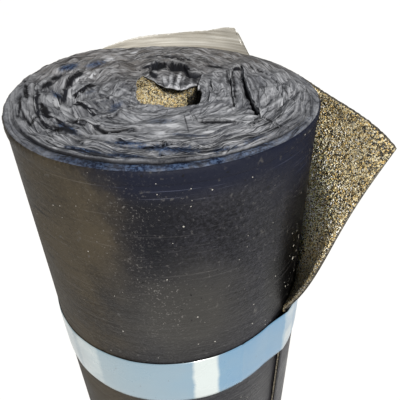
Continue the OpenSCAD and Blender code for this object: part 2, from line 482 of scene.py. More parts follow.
def corner_look(s):
    """Way that the outer face looks at lengths past the root, for every row."""
    bend = ramp_share * corner_len
    freed = np.where(s < bend, s * s / bend / 2, s - bend / 2)
    return seam + peel_angle - (s - undone[:, None] * freed) / wound_r


root_place = wound(np.array([float(root_swept)]))[0]
stride = np.diff(row_along, axis=1)
step_look = corner_look((row_along[:, 1:] + row_along[:, :-1]) / 2)
walk = np.stack([np.sin(step_look), -np.cos(step_look)], -1) * stride[..., None]
loose = root_place[0] + np.concatenate([np.zeros((len(rows), 1, 2)), np.cumsum(walk, 1)], 1)
loose_look = corner_look(row_along)
lean = np.linalg.norm(np.diff(loose, axis=0), axis=-1)
rise = np.sqrt(np.maximum(np.diff(rows)[:, None] ** 2 - lean ** 2, 0))
loose_z = np.concatenate([np.zeros((1, len(along))), np.cumsum(rise, 0)])
torn = np.array([noise.noise((420 * s, 2.0, 0.0)) + 0.6 * noise.noise((1100 * s, 6.0, 0.0)) for s in along])
loose_z[-3:] += torn_h * torn
held_place, held_look = wound(wound_part)
middle = np.concatenate([np.repeat(held_place[:, None], len(rows), 1), loose.transpose(1, 0, 2)])
look = np.concatenate([np.repeat(held_look[:, None], len(rows), 1), loose_look.T])
heights = np.concatenate([np.tile(rows, (len(wound_part), 1)), loose_z.T])
normal = arrow(look)
middle = middle + normal * dented(np.arctan2(middle[..., 1], middle[..., 0]), heights)[..., None]
end_shares = np.ones(len(middle))
end_shares[-3:] = edge_shares[::-1]
inner, outer = faces_of_sheet(middle, normal, heights, sheet_t / 2 * row_shares * end_shares[:, None])
run = np.concatenate([wound_r * np.radians(wound_part), wound_r * math.radians(root_swept) + along])
uv = np.stack(np.broadcast_arrays(run[:, None], rows[None]), -1)
last_turn = sheet_strip("felt_last_turn", inner, outer, uv, felt_finishes)
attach(last_turn, "root")
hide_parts("felt_roll")

# Mineral granules: crushed stone in gold, tan, grey and black, rolled into the hot bitumen of the inner face.
# They show on the loose corner and down the bore, as separate angular grains bedded to half their depth.
draw = np.random.default_rng(7)
stone, nodes = new_finish("mineral_granules", Roughness=0.8)
nodes.shade(Base_Color=nodes.own("grain_colour", "Color"))
grain_corners = np.array([[1, 0, 0], [-1, 0, 0], [0, 1, 0], [0, -1, 0], [0, 0, 1], [0, 0, -1]], float)
grain_sides = np.array([[0, 2, 4], [2, 1, 4], [1, 3, 4], [3, 0, 4],
                        [2, 0, 5], [1, 2, 5], [3, 1, 5], [0, 3, 5]])
bore_shade_tone = 0.05


def granules(name, surface, looks_in, lengths, heights, keep, spacing, bright, least_kind, dirt, tones=None,
             with_bore_shade=False):
    """Grains over a grid of surface points, between the lengths and heights of keep, dirty at the edges, with
    painted light and shade from bright, tones and the bore's shade.
    """
    (low_s, high_s), (low_h, high_h) = keep
    across = np.arange(low_s, high_s, spacing)
    up = np.arange(low_h, high_h, spacing)
    s, h = (g.ravel() + spacing * draw.uniform(-0.42, 0.42, g.size) for g in np.meshgrid(across, up))
    i = np.interp(s, lengths, np.arange(len(lengths)))
    j = np.interp(h, heights, np.arange(len(heights)))
    i0 = np.clip(i.astype(int), 0, len(lengths) - 2)
    j0 = np.clip(j.astype(int), 0, len(heights) - 2)
    u = (i - i0)[:, None]
    v = (j - j0)[:, None]
    spot = sum(w * surface[i0 + a, j0 + b] for a, b, w in (
        (0, 0, (1 - u) * (1 - v)), (1, 0, u * (1 - v)), (0, 1, (1 - u) * v), (1, 1, u * v)))
    inward = looks_in[i0, j0]
    count = len(s)
    size = spacing * draw.gamma(9.0, 0.058, (count, 1, 1)).clip(0.25, 0.85)
    shape = grain_corners * draw.uniform(0.65, 1.25, (count, 6, 1)) * size
    spin = np.linalg.qr(draw.normal(size=(count, 3, 3)))[0]
    points = np.einsum("nij,nkj->nki", spin, shape) + (spot + inward * 0.0001)[:, None]
    faces = (np.arange(count)[:, None, None] * 6 + grain_sides).reshape(-1, 3)
    piece = mesh_piece(name, points, faces, [stone], smooth=False)
    stops = np.array([c for _, c in grain_mix])
    kind = np.searchsorted([p for p, _ in grain_mix], draw.uniform(least_kind, 1, count), side="right") - 1
    colour = bright * stops[kind] * draw.uniform(0.75, 1.25, (count, 1))
    # Tones paint light and shade: paler or darker by the way the face looks, and darker toward the free end.
    if tones:
        end_tone = np.interp((s - low_s) / (high_s - low_s), [0.6, 1.0], [1.15, 0.55])
        colour *= (end_tone * np.interp(-inward[:, 1], *tones))[:, None]
    colour = np.minimum(colour, 0.9)
    edge = np.clip(1 - (high_h - h) / 0.010, 0, 1) + np.clip(1 - (high_s - s + high_h - h) / 0.040, 0, 1)
    clumps = np.array([noise.noise((190 * a, 190 * b, 3.3)) for a, b in zip(s, h)])
    colour *= (1 - dirt * np.clip(edge, 0, 1) * np.clip(0.45 + 2.2 * clumps, 0, 1))[:, None]
    # Grains in the bore's shade are painted near-black: painted shade.
    if with_bore_shade:
        colour *= np.where(in_bore_shade(np.arctan2(spot[:, 1], spot[:, 0]), spot[:, 2]), bore_shade_tone, 1)[:, None]
    layer = piece.data.color_attributes.new("grain_colour", "FLOAT_COLOR", "POINT")
    layer.data.foreach_set("color", np.repeat(np.c_[colour, np.ones(count)], 6, 0).astype(np.float32).ravel())
    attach(piece, "root")


def lengths_along(line):
    """Lengths from the start of a line to each of its points."""
    return np.concatenate([[0], np.cumsum(np.linalg.norm(np.diff(line, axis=0), axis=1))])


flat_in = np.concatenate([-normal, np.zeros(normal.shape[:-1] + (1,))], -1)
first = len(wound_part) - 12
# The corner's granules are painted palest where it stands square to the roll's front and darker toward its
# end: painted light and shade that even out its lighting.
front_facing = [-0.45, -0.35, -0.25, -0.15, 0, 0.1, 0.2, 0.3, 0.4]
painted_light_tones = [0.45, 0.6, 1.1, 1.6, 1.8, 1.45, 1.0, 0.68, 0.55]
# bright gives the corner's grains a brighter copy of the same mineral colours: painted light.
granules("corner_granules", inner[first:], flat_in[first:], run[first:], rows,
         ((run[first], run[-1]), (peel_z - 0.004, sheet_w)), spacing=0.00106, bright=1.38, least_kind=0.04,
         dirt=0.85, tones=(front_facing, painted_light_tones))
bore_swept = np.arange(inner_start, inner_start + 420, 3.0)
middle, look = wound(bore_swept)
normal = arrow(look)
bore_rows = np.linspace(sheet_w - 0.11, sheet_w, 12)
wall = np.repeat((middle - normal * sheet_t / 2)[:, None], len(bore_rows), 1)
wall = np.concatenate([wall, np.broadcast_to(bore_rows[None, :, None], wall.shape[:2] + (1,))], -1)
looks_in = np.repeat(np.c_[-normal, np.zeros(len(normal))][:, None], len(bore_rows), 1)
run = lengths_along(middle)
# The bore's grains are a darker copy of the same mineral: painted shade.
granules("bore_granules", wall, looks_in, run, bore_rows, ((0, run[-1]), (sheet_w - 0.05, sheet_w)),
         spacing=0.00084, bright=0.40, least_kind=0.24, dirt=0, with_bore_shade=True)

# The tape. Glossy pale blue adhesive tape, 50 mm wide, goes once round the roll a little askew, and spans
# from the step of the sheet's end down to the turn below it.
tape_w = 0.05
tape_t = 0.0003
tape_gap = 0.0001
tape_angles = np.radians(np.arange(0, 360, 0.75))
tape_across = np.linspace(-tape_w / 2, tape_w / 2, 21)


def tape_radius(angle):
    """Distance from the axis to the taped surface at an angle from the seam."""
    half = pitch / 2
    far = half * np.cos(angle) + np.sqrt((wound_r + half) ** 2 - (half * np.sin(angle)) ** 2)
    slope = 0.985 * math.asin(wound_r / (wound_r + pitch))
    span = (wound_r + pitch) * math.sin(slope) / np.maximum(np.sin(slope + (2 * math.pi - angle)), 1e-6)
    spanned = (angle > math.radians(335)) & (span > wound_r)
    return np.where(angle < math.pi, far, np.where(spanned, span, wound_r))


def tape_finish():
    """Pale blue tape under clear gloss, faded to white in patches and whiter still where sunlight is painted
    on, and paler grey-blue toward the left as a painted reflection.
    """
    material, nodes = new_finish("blue_tape", Specular_IOR_Level=0.4, Coat_Roughness=0.1, Coat_Weight=0.25)
    marks, spots = weathered(nodes, 0.05)
    fade = nodes.noise(nodes.stretched(spots["UV"], (14.0, 40.0, 1.0)), 1.0, 6.0, 0.6)
    tone = nodes.ramp(fade, [(0.3, (0.066, 0.158, 0.262)), (0.7, (0.086, 0.178, 0.266))])
    wear_and_painted_light = nodes.span(nodes.more(fade, 1.1, nodes.own("white_share")), 0.85, 1.3)
    for here, colour in ((nodes.own("pale_share"), (0.165, 0.220, 0.246)), (wear_and_painted_light, (0.36, 0.40, 0.40)),
                         (nodes.times(marks["Dust"], 0.2), (0.22, 0.22, 0.21)),
                         (marks["Specks"], (0.08, 0.08, 0.08))):
        tone = nodes.blend(here, tone, colour)
    lines = nodes.noise(nodes.stretched(spots["UV"], (160.0, 30.0, 1.0)), 1.0, 4.0)
    nodes.shade(Base_Color=tone, Roughness=nodes.span(marks["Dust"], 0.0, 1.0, 0.24, 0.4),
                Normal=nodes.relief(lines, 0.2, 0.0005))
    return material


ring = np.concatenate([tape_across, tape_across[::-1]])
lift = np.concatenate([np.full(len(tape_across), tape_gap), np.full(len(tape_across), tape_gap + tape_t)])
row_angle = tape_angles + seam
low_z = tape_top - tape_w / 2 + wound_r * np.cos(row_angle) * tape_slope
radius = tape_radius(tape_angles)
pressed = 0.0004 * np.clip((tape_w / 2 - np.abs(ring)) / 0.006, 0, 1)
points = []
uv = []
for angle, base_z, r in zip(row_angle, low_z, radius):
    ripple = [noise.noise((60 * r * math.cos(angle), 60 * r * math.sin(angle), 30 * v)) for v in ring]
    reach = r + dented(angle, base_z + ring) + 0.00015 + pressed + lift + 0.00025 * np.array(ripple)
    points.append(np.stack([reach * math.cos(angle), reach * math.sin(angle), base_z + ring], -1))
    uv.append(np.stack([np.full(len(ring), r * (angle - seam)), ring], -1))
tape_faces = grid_quads(len(row_angle), len(ring), True, True)
tape = mesh_piece("tape_band_skin", np.array(points), tape_faces, [tape_finish()])
lay_uv(tape, np.array(uv))
tape_degrees = (np.degrees(row_angle) + 180) % 360 - 180
# Paler grey-blue toward the left is a painted reflection, and the whiter patches round the tape are painted
# sunlight.
pale = np.interp(tape_degrees, [-180, -125, -85, -70, 180], [1, 0.9, 0.45, 0, 0])
white = np.zeros(len(tape_degrees))
white_places = ((-81.5, 6, 0.9), (-38, 6, 0.50), (-134, 9, 0.5), (-150, 8, 0.45), (60, 12, 0.5))
for place, half_width, strength in white_places:
    white = np.maximum(white, strength * np.clip(2.2 - 2 * np.abs(tape_degrees - place) / half_width, 0, 1))
point_values(tape, pale_share=np.repeat(pale, len(ring)), white_share=np.repeat(white, len(ring)))
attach(tape, "root")
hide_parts("tape_band")

# The camera, placed at the photograph's own angle. The folds of the film below are read off the photograph in
# pixels of its 400 x 400 frame, and the same view turns those pixels into places on the roll.
frame_px = 400
sensor_mm = 36
focal_px = 443.9
rim_z = sheet_w + 0.0082
view_place = np.array([0, -0.30424, rim_z + 0.12127])
view_right = np.array([0.995177, -0.095189, -0.023704])
view_up = np.array([0.075238, 0.585606, 0.807097])
view_ahead = np.array([0.062945, 0.804988, -0.589943])
camera_data = bpy.data.cameras.new("photo_camera")
camera_data.sensor_width = sensor_mm
camera_data.lens = focal_px / frame_px * sensor_mm
camera_data.clip_start = 0.01
camera = bpy.data.objects.new("photo_camera", camera_data)
bpy.context.scene.collection.objects.link(camera)
camera_axes = np.stack([view_right, view_up, -view_ahead, view_place], 1)
camera.matrix_world = Matrix([*camera_axes.tolist(), (0, 0, 0, 1)])
bpy.context.scene.camera = camera


def seen_at(pixels, height):
    """Places in plan where the photograph's pixels meet a level."""
    pixels = np.asarray(pixels, float)
    across = (pixels[:, :1] - frame_px / 2) / focal_px
    down = (pixels[:, 1:] - frame_px / 2) / focal_px
    ray = across * view_right - down * view_up + view_ahead
    return (view_place + ray * (height - view_place[2]) / ray[:, 2:])[:, :2]


# The end film. Thin dark polythene, drawn in over the top end from a round bead at the roll's edge and
# crumpled toward the bore, in layers that lap over each other. It is one closed gathered form that lies on
# the felt's end.
film_columns = 640
film_rings = 124
overhang = 0.0010
front_edge_px = [(136.5, 84), (136.2, 90), (139.5, 98), (146.7, 104.3), (160, 106), (178.6, 106.6),
                 (190, 104.2), (198.5, 103), (201, 97), (200.5, 90)]
back_lip_px = [(197.9, 85.5), (190.4, 87.6), (185.3, 89.2), (176.7, 90.2), (168, 88), (159.4, 84.6),
               (150.8, 80), (142.5, 74.5), (138, 78)]
front_fall = 0.002
lip_fall = 0.005
opening = np.concatenate([seen_at(front_edge_px, rim_z - front_fall), seen_at(back_lip_px, rim_z - lip_fall)])
opening_middle = seen_at([(167, 98)], rim_z)[0]
film_angle = np.linspace(-math.pi, math.pi, film_columns, endpoint=False)


def polar(places):
    """Distances and angles of places in plan from the middle."""
    return np.hypot(places[:, 0], places[:, 1]), np.arctan2(places[:, 1], places[:, 0])


def by_angle(outline, middle, angle):
    """Points of a closed outline at angles about its middle."""
    arm = outline - middle
    its_reach, its_angle = polar(arm)
    order = np.argsort(its_angle)
    reach = np.interp(angle, its_angle[order], its_reach[order], period=2 * math.pi)
    return middle + reach[:, None] * arrow(angle)


def noise_at(spots):
    """Smooth noise at spots in space."""
    return np.array([noise.noise(spot) for spot in spots.tolist()])


def wander(places, size, seed):
    """Smooth noise over places in plan."""
    return noise_at(np.concatenate([places / size, np.full((len(places), 1), seed)], 1))


def round_wander(places, across, along, seed):
    """Smooth noise over places in plan, drawn out round the roll's axis."""
    radius, angle = polar(places)
    turn = 0.07 / along
    return noise_at(np.stack([turn * np.cos(angle), turn * np.sin(angle), radius / across + seed], -1))


def creases(places, ways, seed, round_axis=False):
    """Height of flat facets between sharp creases, as in crumpled film. Each way has the degrees that it runs
    across, a width and a slope; round the axis, its degrees are the slant off the roll's circles."""
    total = np.zeros(len(places))
    for number, (degrees, size, slope) in enumerate(ways):
        own = seed + 7.3 * number
        way = math.radians(degrees)
        if round_axis:
            swing = 0.9 * size * round_wander(places, 4 * size, 0.05, own)
            lobes = round(2 * math.pi * 0.075 * math.sin(way) / size)
            radius, angle = polar(places)
            phase = (radius + swing) * math.cos(way) / size + lobes * (angle / (2 * math.pi))
            patchy = round_wander(places, 3 * size, 0.05, own + 11)
        else:
            drift = np.stack([wander(places, 2.5 * size, own), wander(places, 2.5 * size, own + 5)], -1)
            phase = (places + 0.4 * size * drift) @ np.array([math.cos(way), math.sin(way)]) / size
            patchy = wander(places, 3 * size, own + 11)
        phase = phase + 0.37 * number
        fold = 4 * np.abs(phase - np.floor(phase + 0.5)) - 1
        total += slope * size / 4 * fold * np.clip(0.55 + 1.4 * patchy, 0, 1)
    return total


def layers(places, across, along, seed, drop):
    """Layers that lap one over the next like shingles round the axis, from 0 to 1 up each layer."""
    swing = 1.7 * round_wander(places, 5 * across, along, seed)
    phase = polar(places)[0] / across + swing
    part = phase - np.floor(phase)
    return np.where(part < 1 - drop, part / (1 - drop), (1 - part) / drop)


def way_over(line_px, over_px):
    """Way in plan from the start of a line to the layer that lies over it."""
    start = np.asarray(line_px[0], float)
    ends = seen_at([start, start + 0.1 * np.asarray(over_px, float)], rim_z)
    return ends[1] - ends[0]


lap_fade = 0.007


def lap(places, line_px, over_px, lift, dip, reach):
    """Height, sideways shift and depth of shade where one layer of film laps over another along a line."""
    line = seen_at(line_px, rim_z)
    over = way_over(line_px, over_px)
    run = lengths_along(line)
    near = np.full(len(places), np.inf)
    signed = np.full(len(places), np.inf)
    spot = np.zeros(len(places))
    way = np.zeros_like(places)
    for i in range(len(line) - 1):
        edge = line[i + 1] - line[i]
        length = np.linalg.norm(edge)
        side = np.array([-edge[1], edge[0]]) / length
        side = side if side @ over > 0 else -side
        gap = places - line[i]
        t = np.clip(gap @ edge / length ** 2, 0, 1)
        far = np.linalg.norm(gap - t[:, None] * edge, axis=1)
        closer = far < near
        near[closer] = far[closer]
        signed[closer] = (far * np.where(gap @ side >= 0, 1, -1))[closer]
        spot[closer] = run[i] + t[closer] * length
        way[closer] = side
    ends = np.clip(np.minimum(spot, run[-1] - spot) / lap_fade + 0.15, 0, 1)
    # A layer whose edge looks to the front falls away gently, so that the gap under the edge can be seen.
    front = max(over[1] / np.linalg.norm(over), 0)
    upper = 0.6 * lift * np.clip(1 - np.maximum(signed, 0) / (2.2 * reach), 0, 1)
    run_out = (0.9 + 1.3 * front) * reach
    sunk = np.clip(1 + np.minimum(signed, 0) / run_out, 0, 1) ** (1.4 - 0.4 * front)
    lower = -(1 - 0.35 * front) * dip * sunk
    mix = 0.5 + 0.5 * np.tanh(signed / 0.0004)
    close = np.exp(-(signed / (0.5 * reach)) ** 2)
    height = ends * (mix * upper + (1 - mix) * lower)
    shift = -(ends * mix * close * min(lift + dip, 0.004) * 0.6)[:, None] * way
    open_gap = np.maximum(-signed - overhang, 0)
    step = 0.5 - 0.5 * np.tanh((signed - 0.0008) / 0.0003)
    depth = ends * step * np.exp(-(open_gap / (0.26 * reach)) ** 2) * min(dip / 0.003, 1)
    return height, shift, depth


# Each lap: the line in pixels, the way from it to the upper layer, lift, dip and reach in millimetres.
front_laps = [
    ([(70, 118), (79, 120.8), (90, 124.5), (108.4, 128.4), (125, 129.7), (140, 129)], (0, -1), 1.8, 2.6, 6),
    ([(52, 130), (61.2, 136), (79, 138), (94, 141)], (0, -1), 1.5, 2.2, 5),
    ([(112, 138), (127.6, 139.9), (153, 140.5), (175.5, 143), (201, 146.3), (226.5, 145.6), (241, 143),
      (254, 138)], (0, -1), 1.7, 3.2, 5.5),
    ([(196, 120.3), (207.4, 120.8), (226.5, 121.4), (248.2, 125.4), (262.2, 117)], (0, -1), 1.5, 2.6, 6),
    ([(150, 151.5), (170, 151.5), (188, 152.6), (204.8, 155.2), (226.5, 151.4), (252, 145), (268, 138)],
     (0, -1), 1.2, 2.6, 4.5),
    ([(45, 139), (61, 147.5), (89, 151), (108, 155), (130, 156)], (0, -1), 1.2, 2.6, 4.5),
    ([(96, 120), (112, 117), (126, 108), (134, 103)], (-0.3, -1), 1.0, 1.4, 5),
    ([(182, 110), (188, 115), (192, 122)], (-1, 0.2), 1.2, 1.8, 4),
    ([(262.2, 117), (272, 121), (284, 127)], (0, -1), 0.9, 1.6, 4)]
left_laps = [
    ([(26, 88), (26.8, 92), (27.4, 98)], (1, 0), 1.2, 4.5, 3.5),
    ([(39, 83), (37.6, 87), (36.4, 101.6), (37, 114.4), (32.5, 124.6)], (1, 0), 2.0, 5.5, 5),
    ([(38, 98), (39.5, 102.9), (43.4, 111.8), (49.7, 117.6), (60, 120.8), (74, 124)], (1, -1), 2.0, 3.8, 5.5),
    ([(39, 112), (44.6, 120.8), (60, 127), (76.5, 132), (90, 135)], (1, -1), 1.6, 3.6, 5),
    ([(62.5, 104), (63.4, 91.4), (71.4, 81.2), (81.6, 73.6), (94, 70)], (1, 0.6), 2.6, 7.0, 6),
    ([(94, 84), (89.3, 86.3), (79, 92.7), (70.2, 97.8)], (-0.6, -1), 2.0, 4.4, 5),
    ([(70.2, 98.6), (81.6, 104.2), (91.8, 109.3), (98, 112)], (0.6, -1), 1.8, 3.0, 4),
    ([(37, 90), (48.5, 80), (60, 74.8), (72, 71)], (0.3, 1), 1.8, 4.2, 5),
    ([(58, 71), (68, 68), (79, 66), (99.5, 62), (118, 58)], (0, 1), 1.8, 4.4, 5),
    ([(84, 84), (99.5, 74.8), (114.8, 67.2), (128, 62)], (0.4, 1), 1.6, 3.4, 5),
    ([(89.3, 103), (104.6, 99.7), (118.6, 95.3)], (0, -1), 1.2, 1.6, 4),
    ([(52, 88), (54, 96), (58, 103)], (-1, 0), 1.2, 3.0, 4)]
back_laps = [
    ([(146, 66), (152, 63), (159.4, 61), (168, 61.5)], (0, -1), 2.0, 7.0, 9),
    ([(166, 62.5), (176.7, 63.8), (185.3, 65.5), (191, 69.5), (204, 70)], (0, -1), 2.4, 7.4, 9),
    ([(142, 72), (150, 70.5), (157, 68.5), (163, 66), (168, 70.5), (175, 73), (186, 74), (199, 73)],
     (0, 1), 1.6, 2.6, 4),
    ([(176, 76), (178.5, 81), (180, 87)], (-1, 0), 0.9, 1.0, 4),
    ([(162, 74), (165, 80), (166, 86)], (1, 0), 0.8, 1.0, 4),
    ([(150, 57.5), (165, 56), (186, 58.5), (197, 63)], (0, -1), 1.4, 3.2, 4.5),
    ([(130, 57), (140, 54.5), (150, 55.5)], (0, -1), 1.2, 2.6, 3.5),
    ([(205, 71), (201, 78), (199, 84)], (1, 0), 1.2, 3.0, 4),
    ([(150, 51), (186, 50), (214, 54), (236, 58)], (0, -1), 1.0, 1.8, 4),
    ([(192, 57), (206, 60), (224, 66)], (0, -1), 1.2, 2.2, 4),
    ([(120, 57), (150, 53.5), (172, 53)], (0, -1), 1.0, 1.8, 4)]
right_laps = [
    ([(226.5, 69), (226.6, 76), (227.2, 82)], (-1, 0), 1.0, 2.6, 3),
    ([(235, 69), (232.9, 82), (234.8, 96.5), (236.5, 107)], (1, 0), 1.4, 6.0, 3.4),
    ([(241, 65), (244.8, 70), (246.3, 81.2), (252, 96.5), (258.4, 108), (262.6, 116)],
     (1, -0.4), 1.8, 6.0, 4),
    ([(241.8, 62), (258.4, 68.5), (272.4, 77.4), (284, 87), (291, 96)], (-0.6, 1), 1.2, 3.2, 4),
    ([(252, 64), (268, 71), (283, 81), (295, 92)], (-0.6, 1), 1.0, 2.0, 3.5),
    ([(262, 76), (272, 85), (279, 95), (281, 104)], (-1, 0.4), 1.0, 1.8, 3.5),
    ([(212, 78), (214, 90), (210, 102)], (1, 0), 1.0, 1.6, 4)]

inner_edge = by_angle(opening, opening_middle, film_angle)
rim_r = wound_r + 0.0002
way_out = arrow(film_angle)
# The bead stands clear at the front and left; elsewhere the film simply rounds over the edge. Both are given
# ring by ring, as how far out and how high each ring is from the rim of the felt.
bead = [(-0.0006, -0.0030), (0.0002, -0.0014), (0.0004, 0.0002), (0.0006, 0.0020), (0.0007, 0.0040),
        (0.0004, 0.0056), (-0.0004, 0.0068), (-0.0018, 0.0077), (-0.0034, 0.0083),
        (-0.0047, 0.0084), (-0.0056, 0.0078), (-0.0060, 0.0069), (-0.0063, 0.0060), (-0.0064, 0.0069),
        (-0.0067, 0.0079), (-0.0072, 0.0088)]
plain_round = [(-0.0004, 0.0000), (-0.0002, 0.0001), (0.0, 0.0002), (0.0005, 0.0020), (0.0004, 0.0036),
               (0.0, 0.0050), (-0.0007, 0.0060), (-0.0016, 0.0067), (-0.0026, 0.0071),
               (-0.0034, 0.0073), (-0.0041, 0.0074), (-0.0048, 0.0075), (-0.0054, 0.0076),
               (-0.0060, 0.0077), (-0.0066, 0.0078), (-0.0072, 0.0079)]
film_degrees = np.degrees(film_angle)
bead_share = np.interp(film_degrees, [-180, -155, -135, -66, -48, -28, 5, 130, 160, 180],
                       [0.45, 0.6, 0.95, 1, 0.55, 0.2, 0.12, 0.12, 0.3, 0.45])


def ring_noise(pace, seed):
    """Smooth noise round the film."""
    return np.array([noise.noise((pace * math.cos(a), pace * math.sin(a), seed)) for a in film_angle])


# At the front the film behind the bead stands over it, with a dark gap under its edge.
edge_front = np.interp(film_degrees, [-165, -140, -95, -72, -50], [0, 1, 1, 0.5, 0])
edge_rise = 0.0011 * (1 + 0.9 * ring_noise(6, 7.7)) * edge_front
rise_shares = np.array([0] * 13 + [0.45, 0.85, 1])
bead_h = 0.0084
rim_degrees = [-180, -150, -120, -60, -35, -15, 5, 25, 45, 57, 85, 106, 116, 125, 146, 164, 180]
rim_mm = [9.2, 8.6, 8.4, 8.4, 7.4, 5.2, 2.8, 2.4, 3.0, 3.8, 5.0, 7.0, 9.6, 12.0, 11.8, 11.0, 9.2]
rim_rise = np.interp(film_degrees, rim_degrees, rim_mm) / 1000
crest = rim_r + bead[-1][0]
share = np.linspace(0, 1, film_rings)[:, None, None]
plan = crest * way_out * (1 - share) + inner_edge * share
flat_plan = plan.reshape(-1, 2)
radius = polar(flat_plan)[0]
to_rim = np.clip((radius - 0.050) / 0.045, 0, 1)
leftness = np.clip((-flat_plan[:, 0] - 0.005) / 0.06, 0, 1)
backness = np.clip((flat_plan[:, 1] - 0.01) / 0.05, 0, 1)
near_rim = np.clip((0.1035 - radius) / 0.011, 0.4, 1)


def zone(places, middle_px, wide, deep):
    """How far places lie inside a round zone of the film, from 1 in its middle to 0."""
    gap = (places - seen_at([middle_px], rim_z)[0]) / np.array([wide, deep])
    return np.exp(-(gap ** 2).sum(-1))


panel = zone(flat_plan, (176, 124), 0.032, 0.025)
lip_zone = zone(flat_plan, (172, 78), 0.024, 0.014)
pleat_zone = zone(flat_plan, (224, 88), 0.020, 0.034)
calm = 1 - 0.5 * panel
crumpled = calm * near_rim * (0.55 + 0.6 * np.maximum(leftness, 0.5 * backness))
crumpled = crumpled * (1 - lip_zone) * (1 - 0.7 * pleat_zone)
drawn_round = calm * near_rim * (0.5 + 0.6 * to_rim) * (1 - lip_zone) * (1 - 0.8 * pleat_zone)
crumple_ways = [(20, 0.034, 0.30), (118, 0.027, 0.40), (67, 0.019, 0.32), (152, 0.015, 0.20),
                (95, 0.010, 0.14), (75, 0.0065, 0.10)]
round_ways = [(5, 0.0145, 0.34), (-7, 0.0095, 0.44), (3, 0.0068, 0.46), (-4, 0.0048, 0.40),
              (9, 0.0056, 0.30), (-11, 0.0038, 0.26)]
lip_ways = [(6, 0.0135, 0.85), (-16, 0.0085, 0.6), (80, 0.015, 0.4)]
pleat_ways = [(4, 0.0115, 0.6), (-9, 0.0068, 0.5), (60, 0.013, 0.25)]
layer_h = 0.0026
height = 0.0016 * wander(flat_plan, 0.045, 3.1) * near_rim
height += crumpled * creases(flat_plan, crumple_ways, 11)
height += drawn_round * creases(flat_plan, round_ways, 37, True)
height += layer_h * drawn_round * (1 - panel) * (layers(flat_plan, 0.0105, 0.06, 21.4, drop=0.08) - 0.5)
height += lip_zone * creases(flat_plan, lip_ways, 61)
height += pleat_zone * creases(flat_plan, pleat_ways, 73)
shift = np.zeros_like(flat_plan)
shade = np.zeros(len(flat_plan))
for line_px, over_px, lift, dip, reach in front_laps + left_laps + back_laps + right_laps:
    raised, moved, depth = lap(flat_plan, line_px, over_px, lift / 1000, dip / 1000, reach / 1000)
    height += raised
    shift += moved
    shade = np.maximum(shade, depth)
height = height.reshape(film_rings, film_columns)
shift = shift.reshape(film_rings, film_columns, 2)
from_crest = share[:, :, 0]
settle = np.clip(from_crest / 0.03, 0, 1)
crest_rise = bead_share * bead[-1][1] + (1 - bead_share) * plain_round[-1][1]
crest_z = sheet_w + rim_rise * crest_rise / bead_h + edge_rise
roll_in = np.interp(rim_rise, [0.002, 0.008], [0.42, 0.12])
rolled = (rim_z - crest_z) * np.clip(1 - from_crest / roll_in, 0, 1) ** 1.5
lip_share = np.clip((film_degrees - 35) / 25, 0, 1) * np.clip((178 - film_degrees) / 20, 0, 1)
fall = front_fall + (lip_fall - front_fall) * lip_share
wide = 0.06 + 0.22 * lip_share
edge_drop = fall * np.exp(-((1 - from_crest) / wide) ** 2)
proud_limit = 0.0022
lump_h = 0.0004
film_low = sheet_w + 0.0006
hang_low = sheet_w - 0.003
hang_steps = ((0.0, 0.0010), (0.0006, 0.0022), (0.0018, 0.0034), (0.0036, 0.0042), (0.0056, 0.0046))
under_steps = ((bore_r + 0.0004, 0.0003), (bore_r + 0.0012, 0.0002), (0.068, 0.0002))


def held_down(z, limit):
    """Heights, with what stands above a limit pressed down to a third or so."""
    return np.where(z > limit, limit + 0.35 * (z - limit), z)


inner_share = np.clip((1 - from_crest) / 0.02 + 0.3, 0, 1)
top_z = rim_z + held_down(height, proud_limit) * settle * inner_share - rolled - edge_drop
top_z = np.maximum(top_z, film_low)
top = np.concatenate([plan + shift * settle[..., None], top_z[..., None]], -1)


def softened(z, steps):
    """Heights averaged over their neighbours, round and across."""
    around = sum(np.roll(z, step, 1) for step in range(-steps, steps + 1)) / (2 * steps + 1)
    padded = np.pad(around, ((steps, steps), (0, 0)), mode="edge")
    return sum(padded[step:step + len(z)] for step in range(2 * steps + 1)) / (2 * steps + 1)


hollow = (softened(top_z, 3) - top_z) / 0.0008
lump = ring_noise(9, 2.2)
fine_lump = ring_noise(34, 5.2)
rim_dents = bead_share * dented(film_angle, np.full(film_columns, sheet_w))
bead_points = []
for (bead_out, bead_rise), (round_out, round_rise), rise_share in zip(bead, plain_round, rise_shares):
    out = bead_share * bead_out + (1 - bead_share) * round_out
    rise = bead_share * bead_rise + (1 - bead_share) * round_rise
    r = rim_r + out + np.where(bead_rise > 0.001, lump_h * (lump + 0.5 * fine_lump), 0) + rim_dents
    z = sheet_w + rise * rim_rise / bead_h * (1 + 0.08 * lump + 0.04 * fine_lump) + rise_share * edge_rise
    bead_points.append(np.concatenate([r[:, None] * way_out, z[:, None]], 1))
edge_out = inner_edge - opening_middle
edge_out = edge_out / np.linalg.norm(edge_out, axis=1)[:, None]
hang_points = []
for out, down in hang_steps:
    spot = top[-1, :, :2] + edge_out * out
    low = top_z[-1] - down * (1 - 0.6 * lip_share)
    hang_points.append(np.concatenate([spot, np.maximum(low, hang_low)[:, None]], 1))
under_points = []
for r, gap in under_steps:
    under_points.append(np.concatenate([r * way_out, np.full((film_columns, 1), sheet_w + gap)], 1))
film_points = np.concatenate([np.array(bead_points), top, np.array(hang_points), np.array(under_points)])


